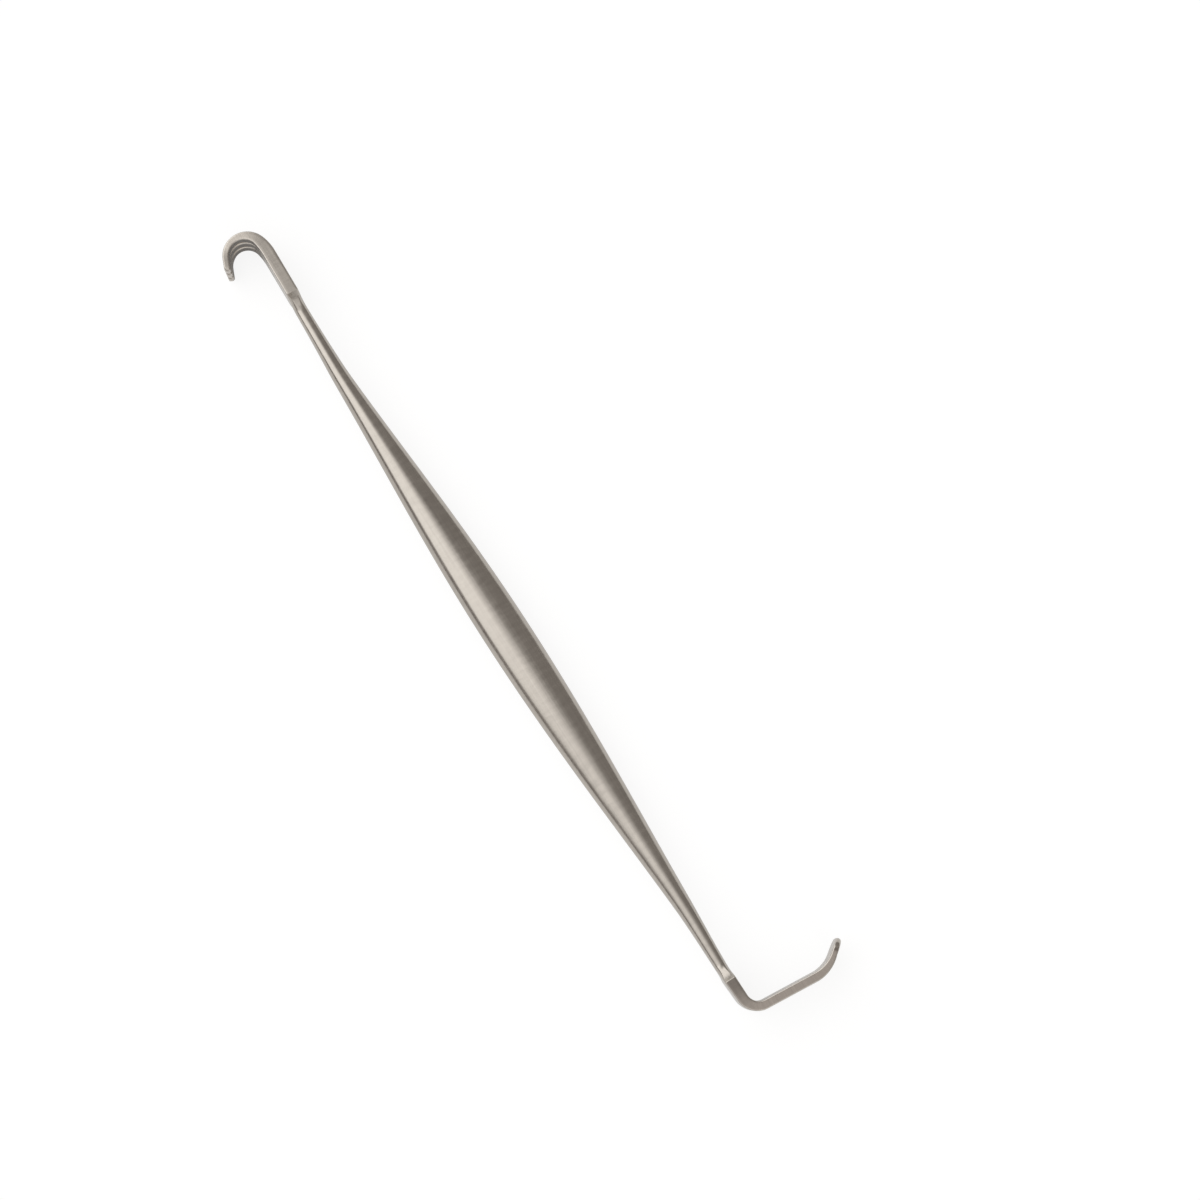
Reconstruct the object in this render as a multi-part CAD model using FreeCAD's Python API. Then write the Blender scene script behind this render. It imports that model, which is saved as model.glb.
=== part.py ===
import FreeCAD, Part
import math
import os

Vector = FreeCAD.Vector

# A double-ended handheld retractor, forged and ground from one bar. X runs along the handle, from the
# rake to the blade. The blade rises towards +Y and the rake curls towards -Y. Z is the width of both
# ends, and Z = 0 is a plane of symmetry. The origin is the middle of the handle. Sizes are in mm.

# Handle
handle_length = 138.8       # from the rake's shoulder to the blade's shoulder
handle_width = 8.0          # at the middle, along Y
handle_thickness = 5.2      # at the middle, along Z
rake_half_fullness = 0.95   # a lower value keeps the swell full further out
blade_half_fullness = 0.8
rake_neck_width = 2.25      # along Y, where the swell runs out
blade_neck_width = 2.1
neck_thickness = 3.4        # along Z, where each flare starts
oval_end = 48.0             # distance from the middle where the oval begins to square up
oval_flat = 0.03            # share of the oval's half width and half thickness that is flat
neck_flat_y = 0.45          # share of the neck's half width that is flat on top
neck_flat_z = 0.25          # share of the neck's half thickness that is flat on each side

# Flares, where the narrow neck spreads into the flat end and meets its ground sides in a crease
flare_run = 3.2             # along X, up to the shoulder
flare_hollow = 2.2          # 1 spreads evenly, more is hollower and ends steeper
plate_edge_radius = 0.25    # softened edges of both flat ends

# Rake
rake_width = 8.7
rake_thickness = 2.2        # along the shank
rake_reach = 13.75          # from the shoulder to the far side of the hook
rake_bend_start = 51.5      # distance from the middle where the neck begins to lean
rake_bend_softness = 4.0    # length over which the lean sets in
rake_lean = 2.2             # degrees, neck and shank towards +Y
rake_set = 0.12             # the shank lies this far beside the line of the neck, towards +Y
hook_entry_radius = 8.2     # outside of the hook's first, slack bend
hook_entry_turn = 23.0      # degrees
hook_radius = 4.26          # outside of the hook's main bend
hook_turn = 135.8           # degrees
hook_taper_length = 10.4    # along the outside, from the shank's thickness to the prongs'
prong_thickness = 1.12
prong_straight = 1.38       # straight stretch of each prong, ahead of its tip
prong_tip_length = 0.8
prong_tip_roundness = 3.0   # 2 is elliptical, more is blunter
prong_tip_turn = 84.0       # degrees of the tip's rounding, which leaves a small flat at its end
prong_count = 3
prong_gap = 0.95
slit_depth = 8.4            # from the far side of the hook back to the root of the gaps

# Blade
blade_width = 7.0
blade_shoulder_thickness = 2.08
blade_bend_thickness = 1.74
blade_thickness = 1.59
blade_drop = 0.34           # the shank lies this far below the handle's axis, towards -Y
blade_drop_start = 54.0     # distance from the middle where it begins to drop
blade_set = 5.75            # from the shoulder to the blade's inner face, along X
blade_angle = 85.1          # degrees from the handle's axis
blade_bend_radius = 2.25    # inside
blade_height = 13.9         # inner corner to where the lip turns in
lip_turn = 42.2             # degrees
lip_length = 5.15
lip_thickness = 1.06
lip_bend_radius = 5.9       # inside
lip_corner_radius = 2.5

half_handle = handle_length / 2
prong_pitch = (rake_width + prong_gap) / prong_count
prong_width = prong_pitch - prong_gap

# How finely the curved forms are followed
handle_stations = 32        # sections from the middle of the handle to each shoulder
station_crowding = 0.92     # 0 spaces the sections evenly, 1 crowds them most towards the ends
hook_entry_points = 3
hook_points = 12
tip_stations = 8
least_flat = 0.05           # share of a prong's half section that stays flat at its tip
tip_rounding_share = 0.9    # how far the tip's corners round up to a full ellipse
crease_angle = 20.0         # degrees, flatter edges are left as they are
overrun = 1.0               # how far a cutting tool starts outside the metal
tolerance = 0.01


def polar(angle, length=1.0):
    radians = math.radians(angle)
    return Vector(length * math.cos(radians), length * math.sin(radians), 0)


def smooth_step(value):
    share = min(max(value, 0.0), 1.0)
    return share * share * (3 - 2 * share)


def soft_ramp(distance, softness):
    """Zero, then a straight slope of one, with a rounded start that is as long as softness."""
    if distance <= 0:
        return 0.0
    if distance < softness:
        return distance * distance / (2 * softness)
    return distance - softness / 2


def swell(x):
    """One at the middle of the handle, falling to zero at the shoulders."""
    share = min(abs(x) / half_handle, 1.0)
    fullness = rake_half_fullness if x < 0 else blade_half_fullness
    return math.cos(math.pi / 2 * share) ** (2 * fullness)


def rounded_wire(centre, side, half_y, half_z, flat_y, flat_z):
    """Four flats joined by four quarter ellipses, across the unit vector side and Z."""
    edges = []
    for sign_y, sign_z in ((1, 1), (-1, 1), (-1, -1), (1, -1)):
        on_side = centre + side * (sign_y * half_y) + Vector(0, 0, sign_z * flat_z)
        on_top = centre + side * (sign_y * flat_y) + Vector(0, 0, sign_z * half_z)
        corner = centre + side * (sign_y * half_y) + Vector(0, 0, sign_z * half_z)
        if sign_y == sign_z:
            first, last = on_side, on_top
            after = centre - side * (sign_y * flat_y) + Vector(0, 0, sign_z * half_z)
        else:
            first, last = on_top, on_side
            after = centre + side * (sign_y * half_y) - Vector(0, 0, sign_z * flat_z)
        quarter = Part.BezierCurve()
        quarter.setPoles([first, corner, last])
        quarter.setWeight(2, math.sqrt(0.5))
        edges.append(quarter.toShape())
        edges.append(Part.LineSegment(last, after).toShape())
    return Part.Wire(edges)


# Handle, necks and shoulders: smooth bodies through rounded sections across X
def section_at(x, neck_width, plate_width, plate_thickness, centre, lean):
    """An oval at the middle, squarer at the neck, and at the shoulder the flat end's own, which may lean."""
    distance = abs(x)
    to_neck = smooth_step((distance - oval_end) / (half_handle - flare_run - oval_end))
    along_flare = max(distance - half_handle + flare_run, 0.0) / flare_run
    to_plate = smooth_step(along_flare)
    to_full_width = along_flare ** flare_hollow
    width = neck_width + (handle_width - neck_width) * swell(x)
    thickness = neck_thickness + (handle_thickness - neck_thickness) * swell(x)
    slant = 1 / math.cos(math.radians(lean))
    half_y = (width + (plate_thickness * slant - width) * to_plate) / 2
    half_z = (thickness + (plate_width - thickness) * to_full_width) / 2
    flat_y = half_y * (oval_flat + (neck_flat_y - oval_flat) * to_neck)
    flat_z = half_z * (oval_flat + (neck_flat_z - oval_flat) * to_neck)
    flat_y += (half_y - plate_edge_radius * slant - flat_y) * to_plate
    flat_z += (half_z - plate_edge_radius - flat_z) * to_plate
    return rounded_wire(Vector(x, centre, 0), Vector(0, 1, 0), half_y, half_z, flat_y, flat_z)


def rake_centre(x):
    lean = math.tan(math.radians(rake_lean)) * soft_ramp(-x - rake_bend_start, rake_bend_softness)
    return lean + rake_set * smooth_step((flare_run - half_handle - x) / flare_run)


def blade_centre(x):
    return -blade_drop * smooth_step((x - blade_drop_start) / (half_handle - blade_drop_start))


def rake_section(x):
    return section_at(x, rake_neck_width, rake_width, rake_thickness, rake_centre(x), rake_lean)


def blade_section(x):
    return section_at(x, blade_neck_width, blade_width, blade_shoulder_thickness, blade_centre(x), 0)


def make_handle():
    """Swell, necks and flares, through sections that lie closer together towards the ends."""
    distances = []
    for step in range(handle_stations + 1):
        share = step / handle_stations
        crowded = 1 - (1 - share) ** 3
        distances.append(half_handle * (share + (crowded - share) * station_crowding))
    sections = [rake_section(-distance) for distance in reversed(distances)]
    sections += [blade_section(distance) for distance in distances[1:]]
    return Part.makeLoft(sections, True, False)


# Flat ends: a side outline, as wide as the end
def band(outer, inner, width):
    """A solid between two chains of edges that run the same way, centred on Z = 0."""
    start = Part.LineSegment(end_point(inner[0], 0), end_point(outer[0], 0)).toShape()
    finish = Part.LineSegment(end_point(outer[-1], 1), end_point(inner[-1], 1)).toShape()
    wire = Part.Wire(Part.__sortEdges__([start] + outer + [finish] + inner))
    face = Part.Face(wire)
    face.translate(Vector(0, 0, -width / 2))
    return face.extrude(Vector(0, 0, width))


def end_point(edge, which):
    return edge.valueAt(edge.ParameterRange[which])


def advance(point, heading, radius, turn):
    """Where a left bend of this radius and turn leaves a path."""
    start = math.radians(heading)
    finish = math.radians(heading + turn)
    step = Vector(math.sin(finish) - math.sin(start), math.cos(start) - math.cos(finish), 0)
    return point + step * radius


def hook_reach(heading):
    """How far the outside of the hook goes beyond the end of the shank, along -X."""
    entry = advance(Vector(), heading, hook_entry_radius, hook_entry_turn)
    heading += hook_entry_turn
    return -advance(entry, heading, hook_radius, 270 - heading).x


def hook_path(start, heading):
    """Points on the outside of the bends, each with its heading and its distance from the start."""
    path = [(start, heading, 0.0)]
    entry = (hook_entry_radius, hook_entry_turn, hook_entry_points)
    main = (hook_radius, hook_turn, hook_points)
    for radius, turn, count in (entry, main):
        for step in range(count):
            point, heading, distance = path[-1]
            after = advance(point, heading, radius, turn / count)
            path.append((after, heading + turn / count, distance + radius * math.radians(turn / count)))
    return path


def rake_side(joint, path, depth_at):
    """Shank, bends and straight prong along one side, the given depth inside the path."""
    points = [point + polar(heading + 90, depth_at(distance)) for point, heading, distance in path]
    first = polar(path[0][1])
    last = polar(path[-1][1])
    bend = Part.BSplineCurve()
    bend.interpolate(Points=points, InitialTangent=first, FinalTangent=last)
    shank_start = points[0] - first * ((points[0].x - joint) / first.x)
    shank = Part.LineSegment(shank_start, points[0]).toShape()
    prong = Part.LineSegment(points[-1], points[-1] + last * prong_straight).toShape()
    return [shank, bend.toShape(), prong]


def make_prong_tips(tip_root, along):
    """Blunt round tips, one at the end of each prong."""
    side = Vector(-along.y, along.x, 0)
    tips = []
    for prong in range(prong_count):
        z = -rake_width / 2 + prong_pitch * prong + prong_width / 2
        sections = []
        for step in range(tip_stations + 1):
            angle = math.radians(prong_tip_turn) * step / tip_stations
            share = math.sin(angle) ** (2 / prong_tip_roundness)
            scale = (1 - share ** prong_tip_roundness) ** (1 / prong_tip_roundness)
            centre = tip_root + along * (prong_tip_length * share) + Vector(0, 0, z)
            half_y = prong_thickness / 2 * scale
            half_z = prong_width / 2 * scale
            full_round = min(half_y, half_z)
            rounding = plate_edge_radius + (full_round - plate_edge_radius) * share * tip_rounding_share
            flat_y = max(half_y - rounding, half_y * least_flat)
            flat_z = max(half_z - rounding, half_z * least_flat)
            sections.append(rounded_wire(centre, side, half_y, half_z, flat_y, flat_z))
        tips.append(Part.makeLoft(sections, True, False))
    return tips


def hook_depth(distance):
    """Thickness of the hook at a distance along its outside."""
    return rake_thickness + (prong_thickness - rake_thickness) * smooth_step(distance / hook_taper_length)


def make_rake():
    far_side = -(half_handle + rake_reach)
    heading = 180 - rake_lean
    hook_start = far_side + hook_reach(heading)
    centre_y = rake_centre(-half_handle) - math.tan(math.radians(rake_lean)) * (half_handle + hook_start)
    outside = Vector(hook_start, centre_y, 0) - polar(heading + 90, rake_thickness / 2)
    path = hook_path(outside, heading)
    outer = rake_side(-half_handle, path, lambda distance: 0.0)
    inner = rake_side(-half_handle, path, hook_depth)
    rake = band(outer, inner, rake_width).cut(prong_gaps(far_side))
    along = polar(path[-1][1])
    inward = polar(path[-1][1] + 90)
    tip_root = path[-1][0] + along * prong_straight + inward * (prong_thickness / 2)
    soft = sharp_edges(rake, [(Vector(-half_handle, 0, 0), Vector(1, 0, 0)), (tip_root, along)])
    return rake.makeFillet(plate_edge_radius, soft).fuse(make_prong_tips(tip_root, along), tolerance)


def prong_gaps(far_side):
    """Slots with round roots, evenly spaced across the rake, through shank and prongs."""
    radius = prong_gap / 2
    root = far_side + slit_depth - radius
    half_depth = 2 * hook_radius
    slots = []
    for gap in range(prong_count - 1):
        z = -rake_width / 2 + prong_pitch * (gap + 1) - radius
        base = Vector(root, half_depth, z)
        drill = Part.makeCylinder(radius, 2 * half_depth, base, Vector(0, -1, 0))
        corner = Vector(far_side - overrun, -half_depth, z - radius)
        slot = Part.makeBox(root - corner.x, 2 * half_depth, prong_gap, corner)
        slots.append(slot.fuse(drill))
    return slots


def lies_in(shape, point, normal):
    return all(abs((vertex.Point - point).dot(normal)) < tolerance for vertex in shape.Vertexes)


def sharp_edges(shape, joints):
    """Edges where two faces meet at an angle, apart from those in a joint's plane."""
    sharp = []
    for edge in shape.Edges:
        if any(lies_in(edge, point, normal) for point, normal in joints):
            continue
        middle = edge.valueAt(sum(edge.ParameterRange) / 2)
        faces = shape.ancestorsOfType(edge, Part.Face)
        normals = [face.normalAt(*face.Surface.parameter(middle)) for face in faces]
        if len(normals) == 2 and normals[0].getAngle(normals[1]) > math.radians(crease_angle):
            sharp.append(edge)
    return sharp


def runs_across(edge):
    """True for an edge that runs along Z, across the width."""
    ends = [vertex.Point for vertex in edge.Vertexes]
    return abs(ends[0].z - ends[-1].z) > tolerance


def make_blade():
    shank_y = -blade_drop + blade_shoulder_thickness / 2
    corner = Vector(half_handle + blade_set, shank_y, 0)
    rise = polar(blade_angle)
    turn = corner + rise * blade_height
    tip_direction = polar(blade_angle + lip_turn)
    tip = turn + tip_direction * lip_length
    inner_points = [Vector(half_handle, shank_y, 0), corner, turn, tip]
    outer_points = offset_corners(inner_points, [blade_bend_thickness, blade_thickness, lip_thickness])
    outer_points[0] = inner_points[0] - Vector(0, blade_shoulder_thickness, 0)
    inner = rounded_chain(inner_points, [blade_bend_radius, lip_bend_radius])
    outer_radii = [blade_bend_radius + blade_bend_thickness, lip_bend_radius + lip_thickness]
    outer = rounded_chain(outer_points, outer_radii)
    blade = band(outer, inner, blade_width)
    corners = [edge for edge in blade.Edges if lies_in(edge, tip, tip_direction) and not runs_across(edge)]
    blade = blade.makeFillet(lip_corner_radius, corners)
    return blade.makeFillet(plate_edge_radius, sharp_edges(blade, [(inner_points[0], Vector(1, 0, 0))]))


def offset_corners(points, distances):
    """Corners of the chain that lies the given distances to the right of each straight."""
    starts = []
    directions = []
    for first, second, distance in zip(points, points[1:], distances):
        direction = (second - first).normalize()
        right = Vector(direction.y, -direction.x, 0)
        starts.append(first + right * distance)
        directions.append(direction)
    corners = [starts[0]]
    for index in range(len(starts) - 1):
        corners.append(crossing(starts[index], directions[index], starts[index + 1], directions[index + 1]))
    right = Vector(directions[-1].y, -directions[-1].x, 0)
    corners.append(points[-1] + right * distances[-1])
    return corners


def crossing(point, direction, other_point, other_direction):
    gap = other_point - point
    scale = direction.x * other_direction.y - direction.y * other_direction.x
    return point + direction * ((gap.x * other_direction.y - gap.y * other_direction.x) / scale)


def rounded_chain(points, radii):
    """Straights through the points, with each inner corner rounded to its radius."""
    edges = []
    start = points[0]
    for index, radius in enumerate(radii):
        corner = points[index + 1]
        before = (corner - points[index]).normalize()
        after = (points[index + 2] - corner).normalize()
        half_turn = before.getAngle(after) / 2
        reach = radius * math.tan(half_turn)
        first = corner - before * reach
        last = corner + after * reach
        middle = corner + (after - before).normalize() * (radius / math.cos(half_turn) - radius)
        edges.append(Part.LineSegment(start, first).toShape())
        edges.append(Part.Arc(first, middle, last).toShape())
        start = last
    edges.append(Part.LineSegment(start, points[-1]).toShape())
    return edges


def weld(first, second, x):
    """One solid from two that meet in the same section at x, which goes."""
    joint = Vector(x, 0, 0)
    faces = [face for face in first.Faces + second.Faces if not lies_in(face, joint, Vector(1, 0, 0))]
    skin = Part.Compound(faces)
    skin.sewShape(tolerance)
    return Part.Solid(skin.Shells[0])


def make_retractor():
    body = weld(make_handle(), make_rake(), -half_handle)
    return body.fuse([make_blade()], tolerance).Solids[0]


os.makedirs("parts", exist_ok=True)
retractor = make_retractor()
retractor.exportStep("parts/retractor.step")
box = retractor.BoundBox
print("solids", len(retractor.Solids), "valid", retractor.isValid(), "volume", round(retractor.Volume, 1))
print("box", [round(value, 2) for value in (box.XMin, box.XMax, box.YMin, box.YMax, box.ZMin, box.ZMax)])
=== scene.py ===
import bmesh
import bpy
import math
import numpy as np
from mathutils import Matrix, Vector


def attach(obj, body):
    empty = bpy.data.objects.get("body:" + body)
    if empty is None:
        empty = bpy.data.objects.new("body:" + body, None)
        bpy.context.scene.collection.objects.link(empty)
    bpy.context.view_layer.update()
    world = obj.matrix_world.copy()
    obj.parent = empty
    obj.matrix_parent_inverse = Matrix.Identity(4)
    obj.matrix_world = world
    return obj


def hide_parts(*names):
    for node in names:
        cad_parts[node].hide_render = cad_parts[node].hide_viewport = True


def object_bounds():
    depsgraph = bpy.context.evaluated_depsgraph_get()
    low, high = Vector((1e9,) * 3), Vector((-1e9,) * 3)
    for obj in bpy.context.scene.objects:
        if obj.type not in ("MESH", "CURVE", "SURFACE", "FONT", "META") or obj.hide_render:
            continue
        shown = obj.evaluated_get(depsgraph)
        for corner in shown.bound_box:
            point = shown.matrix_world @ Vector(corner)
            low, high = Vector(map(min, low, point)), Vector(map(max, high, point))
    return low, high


# a double-ended hand retractor in satin steel, lying on its side on a pale table
# X runs along the handle to the blade, Y is the way the blade rises, Z is up
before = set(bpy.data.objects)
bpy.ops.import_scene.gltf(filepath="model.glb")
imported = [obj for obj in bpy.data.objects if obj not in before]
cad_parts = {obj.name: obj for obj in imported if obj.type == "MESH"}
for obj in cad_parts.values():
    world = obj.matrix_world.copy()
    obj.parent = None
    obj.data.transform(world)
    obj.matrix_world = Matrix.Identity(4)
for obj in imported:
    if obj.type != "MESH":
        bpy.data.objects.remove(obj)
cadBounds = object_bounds()
mm = 0.001

# lengths are in mm and angles in degrees
handle = {
    "length": 138.8,
    "width": 8.0,
    "thickness": 5.2,
    "rakeHalfFullness": 0.95,  # at 1 the swell is a squared cosine, and below 1 it is fuller
    "bladeHalfFullness": 0.8,
    "rakeNeckWidth": 2.25,
    "bladeNeckWidth": 2.1,
    "neckThickness": 3.4,
    "ovalEnd": 48.0,  # from the middle to where the oval starts to change into the neck
    "ovalFlat": 0.03,  # the flat share of a section's half size
    "neckFlatY": 0.45,
    "neckFlatZ": 0.25,
    "flareRun": 3.2,
    "flareHollow": 2.2,  # the power of the flare's hollow curve
    "edgeRadius": 0.25,
    "crowding": 0.92,  # how much closer together the rings are towards the ends
    "crowdingPower": 3.0,
    "rings": 181,
}

rake = {
    "width": 8.7,
    "thickness": 2.2,
    "reach": 13.75,  # from the shoulder to the outside of the hook
    "leanStart": 51.5,  # from the middle to where the neck starts to lean
    "leanSoftness": 4.0,
    "lean": 2.2,
    "set": 0.12,  # how far the plate stands off the neck's line
    "entryRadius": 8.2,
    "entryTurn": 23.0,
    "hookRadius": 4.26,
    "hookTurn": 135.8,
    "taperLength": 10.4,
    "prongThickness": 1.12,
    "prongStraight": 1.38,
    "prongTipLength": 0.8,
    "tipRoundness": 3.0,
    "tipTurn": 84.0,  # how far round its end the tip's sections go
    "tipFlat": 0.3,
    "prongs": 3,
    "gap": 0.95,
    "slitDepth": 8.4,
    "rootRun": 2.4,  # the stretch that bends back to the round roots of the gaps
}

blade = {
    "width": 7.0,
    "shoulderThickness": 2.08,
    "bendThickness": 1.91,
    "thickness": 1.59,
    "drop": 0.34,  # how far the neck's end lies below the handle's axis
    "dropStart": 54.0,
    "set": 5.75,  # from the shoulder to the corner of the bend
    "angle": 85.1,
    "bendRadius": 2.25,
    "height": 13.9,  # from that corner to the corner of the lip
    "lipTurn": 42.2,
    "lipLength": 5.15,
    "lipThickness": 1.06,
    "lipBendRadius": 5.9,
    "cornerRadius": 2.5,
    "tipRounding": 0.5,
}

# how many points go round a section, and how far round an oval its broad side sweeps each way
section = {"prongColumns": 5, "gapColumns": 12, "cornerSteps": 8, "sideSteps": 4, "topSweep": 48.0}

# how many sections each stretch of the ends has; crease is the distance from the shoulder to the second one
rows = {
    "crease": 0.08,
    "shank": 16,
    "slit": 8,
    "entry": 9,
    "hook": 56,
    "prong": 5,
    "tip": 10,
    "bladeShank": 8,
    "bend": 30,
    "blade": 18,
    "lipBend": 16,
    "lip": 4,
    "corner": 18,
}

halfHandle = handle["length"] / 2
edge = handle["edgeRadius"]
pitch = (rake["width"] + rake["gap"]) / rake["prongs"]
prongWidth = pitch - rake["gap"]
rootRadius = rake["gap"] / 2 + edge
mergeDistance = 0.001


def smooth(value):
    share = np.clip(value, 0, 1)
    return share * share * (3 - 2 * share)


# one row for each point round a flat section: flatY, roundY, flatZ, roundZ and notch
# notch is how far a gap's round root pulls the point back, from 0 to 1
# the first half goes from the -Z corner of the +Y side to the -Y side, and the second is its opposite
def sectionPoints(columns, notches):
    halfTurn = [(1, 1, flat, 0, notch) for flat, notch in zip(columns, notches)]
    corners = section["cornerSteps"]
    for step in range(1, corners + 1):
        angle = math.pi / 2 * step / corners
        halfTurn.append((1, math.cos(angle), 1, math.sin(angle), 0))
    for step in range(1, section["sideSteps"] + 1):
        halfTurn.append((1 - 2 * step / section["sideSteps"], 0, 1, 1, 0))
    for step in range(1, corners):
        angle = math.pi / 2 * step / corners
        halfTurn.append((-1, -math.sin(angle), 1, math.cos(angle), 0))
    halfTurn = np.array(halfTurn, float)
    return np.vstack([halfTurn, halfTurn * (-1, -1, -1, -1, 1)])


# the points down the +Z side of a flat section, from its +Y flat to its -Y flat
def sidePoints(points, columnCount):
    return points[columnCount - 1:len(points) // 2 + 1]


# columns over the full width of the rake: prongs evenly spaced, gaps spaced as their round roots need
def bodyColumns():
    flatHalf = rake["width"] / 2 - edge
    prongHalf = prongWidth / 2 - edge
    columns, notches = [], []
    for prong in range(rake["prongs"]):
        middle = (prong - (rake["prongs"] - 1) / 2) * pitch
        places = np.linspace(-1, 1, section["prongColumns"] + 1)
        columns += list(middle + places * prongHalf)
        notches += [0] * len(places)
        if prong < rake["prongs"] - 1:
            angles = np.linspace(-math.pi / 2, math.pi / 2, section["gapColumns"] + 1)[1:-1]
            columns += list(middle + pitch / 2 + rootRadius * np.sin(angles))
            notches += list(np.cos(angles))
    return np.array(columns) / flatHalf, np.array(notches)


columns, notches = bodyColumns()
bodySection = sectionPoints(columns, notches)
prongColumns = np.linspace(-1, 1, section["prongColumns"] + 1)
prongSection = sectionPoints(prongColumns, np.zeros(len(prongColumns)))


# where the same points go on an oval: an even sweep over each broad side and over each edge
def ovalAngles():
    sweep = math.radians(section["topSweep"])
    broad = sweep * columns
    rest = len(bodySection) // 2 - len(columns) + 1
    narrow = np.linspace(sweep, math.pi - sweep, rest + 1)[1:-1]
    half = np.concatenate([broad, narrow])
    return np.concatenate([half, half + math.pi])


# a socket of a node tree that can stand in a formula
class TreeValue:
    def __init__(self, tree, socket):
        self.tree = tree
        self.socket = socket

    def __add__(self, other):
        return mathNode(self.tree, "ADD", self, other)

    def __radd__(self, other):
        return mathNode(self.tree, "ADD", other, self)

    def __sub__(self, other):
        return mathNode(self.tree, "SUBTRACT", self, other)

    def __rsub__(self, other):
        return mathNode(self.tree, "SUBTRACT", other, self)

    def __mul__(self, other):
        return mathNode(self.tree, "MULTIPLY", self, other)

    def __rmul__(self, other):
        return mathNode(self.tree, "MULTIPLY", self, other)

    def __truediv__(self, other):
        return mathNode(self.tree, "DIVIDE", self, other)

    def __rtruediv__(self, other):
        return mathNode(self.tree, "DIVIDE", other, self)


# links a tree's value to a socket, or writes a plain value there
def feed(tree, socket, value):
    if isinstance(value, TreeValue):
        tree.links.new(value.socket, socket)
    else:
        socket.default_value = value


def mathNode(tree, operation, *values):
    node = tree.nodes.new("ShaderNodeMath")
    node.operation = operation
    for place, value in zip(node.inputs, values):
        feed(tree, place, value)
    return TreeValue(tree, node.outputs[0])


# rises smoothly from 0 to 1 as the value goes from start to end
def smoothNode(tree, value, start=0.0, end=1.0):
    node = tree.nodes.new("ShaderNodeMapRange")
    node.interpolation_type = "SMOOTHSTEP"
    for label, number in (("Value", value), ("From Min", start), ("From Max", end)):
        feed(tree, node.inputs[label], number)
    return TreeValue(tree, node.outputs["Result"])


def mixed(first, second, share):
    return first + (second - first) * share


def vectorNode(tree, operation, *values):
    node = tree.nodes.new("ShaderNodeVectorMath")
    node.operation = operation
    for place, value in zip(node.inputs, values):
        feed(tree, place, value)
    return TreeValue(tree, node.outputs["Value" if operation == "DOT_PRODUCT" else "Vector"])


def colourNode(tree, first, second, share):
    node = tree.nodes.new("ShaderNodeMix")
    node.data_type = "RGBA"
    for label, value in (("Factor", share), ("A", first), ("B", second)):
        feed(tree, node.inputs[label], value)
    return TreeValue(tree, node.outputs["Result"])


def axisValues(tree, vector):
    split = tree.nodes.new("ShaderNodeSeparateXYZ")
    tree.links.new(vector.socket, split.inputs[0])
    return [TreeValue(tree, split.outputs[axis]) for axis in "XYZ"]


# an empty geometry tree with the given inputs, and the inputs by name
def newTree(name, inputs):
    tree = bpy.data.node_groups.new(name, "GeometryNodeTree")
    kinds = {int: "NodeSocketInt", float: "NodeSocketFloat", bpy.types.Object: "NodeSocketObject"}
    for label, value in inputs.items():
        kind = kinds[type(value)]
        tree.interface.new_socket(name=label, in_out="INPUT", socket_type=kind)
    tree.interface.new_socket(name="Geometry", in_out="OUTPUT", socket_type="NodeSocketGeometry")
    source = tree.nodes.new("NodeGroupInput")
    return tree, {label: TreeValue(tree, source.outputs[label]) for label in inputs}


# ends a tree in Realize Instances, smooth shading and Set Material
def closeTree(tree, geometry, material):
    realize = tree.nodes.new("GeometryNodeRealizeInstances")
    shade = tree.nodes.new("GeometryNodeSetShadeSmooth")
    paint = tree.nodes.new("GeometryNodeSetMaterial")
    paint.inputs["Material"].default_value = material
    output = tree.nodes.new("NodeGroupOutput")
    tree.links.new(geometry, realize.inputs["Geometry"])
    tree.links.new(realize.outputs["Geometry"], shade.inputs["Geometry"])
    tree.links.new(shade.outputs["Geometry"], paint.inputs["Geometry"])
    tree.links.new(paint.outputs["Geometry"], output.inputs["Geometry"])


# runs a tree on an empty mesh with the given values and returns its result as a plain mesh
def bake(name, tree, values):
    carrier = bpy.data.objects.new(name, bpy.data.meshes.new(name))
    bpy.context.scene.collection.objects.link(carrier)
    modifier = carrier.modifiers.new(name, "NODES")
    modifier.node_group = tree
    for item in tree.interface.items_tree:
        if item.in_out == "INPUT":
            modifier[item.identifier] = values[item.name]
    carrier.update_tag()
    evaluated = carrier.evaluated_get(bpy.context.evaluated_depsgraph_get())
    mesh = bpy.data.meshes.new_from_object(evaluated)
    carrier.modifiers.remove(modifier)
    bpy.data.objects.remove(carrier)
    return mesh


# the points of a section as a mesh, for the handle's tree to read
def sectionObject():
    angles = ovalAngles()
    zero = np.zeros(len(angles))
    ovalRound = np.stack([zero, np.cos(angles), np.sin(angles)], 1)
    values = {
        "ovalRound": ovalRound,
        "ovalFlat": np.sin(math.pi / 2 * ovalRound),  # a little fuller, so it squares the oval slightly
        "plateRound": np.stack([zero, bodySection[:, 1], bodySection[:, 3]], 1),
        "plateFlat": np.stack([zero, bodySection[:, 0], bodySection[:, 2]], 1),
    }
    mesh = bpy.data.meshes.new("sectionPoints")
    mesh.from_pydata([tuple(point) for point in ovalRound], [], [])
    for name, vectors in values.items():
        attribute = mesh.attributes.new(name, "FLOAT_VECTOR", "POINT")
        attribute.data.foreach_set("vector", vectors.astype(np.float32).ravel())
    points = bpy.data.objects.new("sectionPoints", mesh)
    bpy.context.scene.collection.objects.link(points)
    return points


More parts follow.
